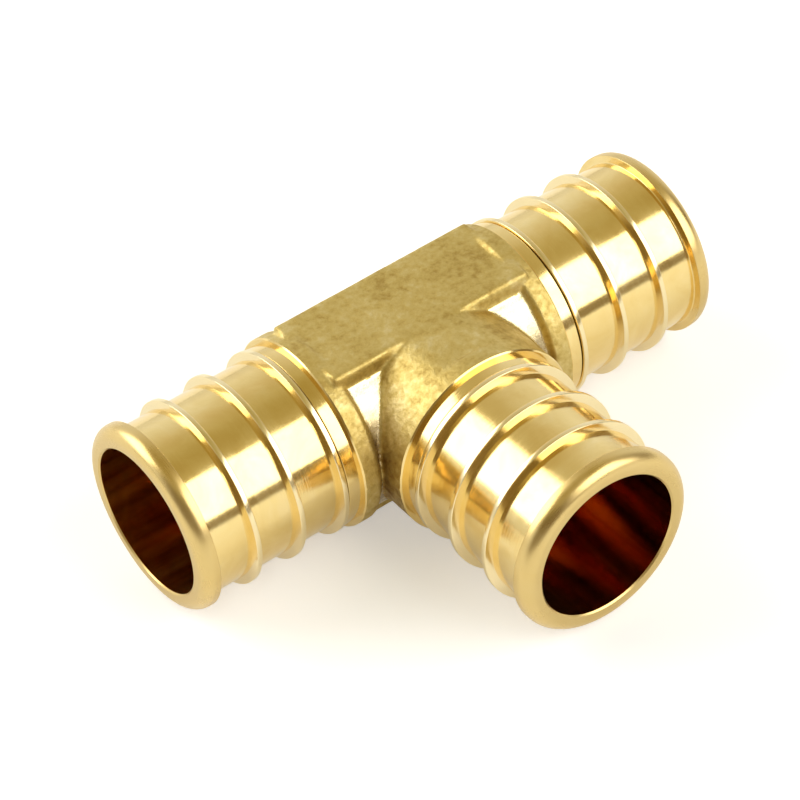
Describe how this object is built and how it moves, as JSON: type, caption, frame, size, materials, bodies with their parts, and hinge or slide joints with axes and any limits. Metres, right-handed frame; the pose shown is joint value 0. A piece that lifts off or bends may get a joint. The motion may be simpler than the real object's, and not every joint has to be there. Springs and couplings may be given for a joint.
{
  "type": "brass crimp tee",
  "caption": "One-piece brass tee for PEX pipe: ribbed barbs on both ends of the run and on the branch, flat pads on the forged body, bored through.",
  "frame": {"origin": "where the axis of the run meets the axis of the branch", "axes": "+X along the run, -Y along the branch towards its mouth, +Z square to the flat pads"},
  "size_m": [0.0538, 0.0355, 0.0176],
  "materials": {
    "brass": "forged body, turned and polished barbs"
  },
  "bodies": {
    "root": {"tee_body": "brass"}
  },
  "joints": []
}
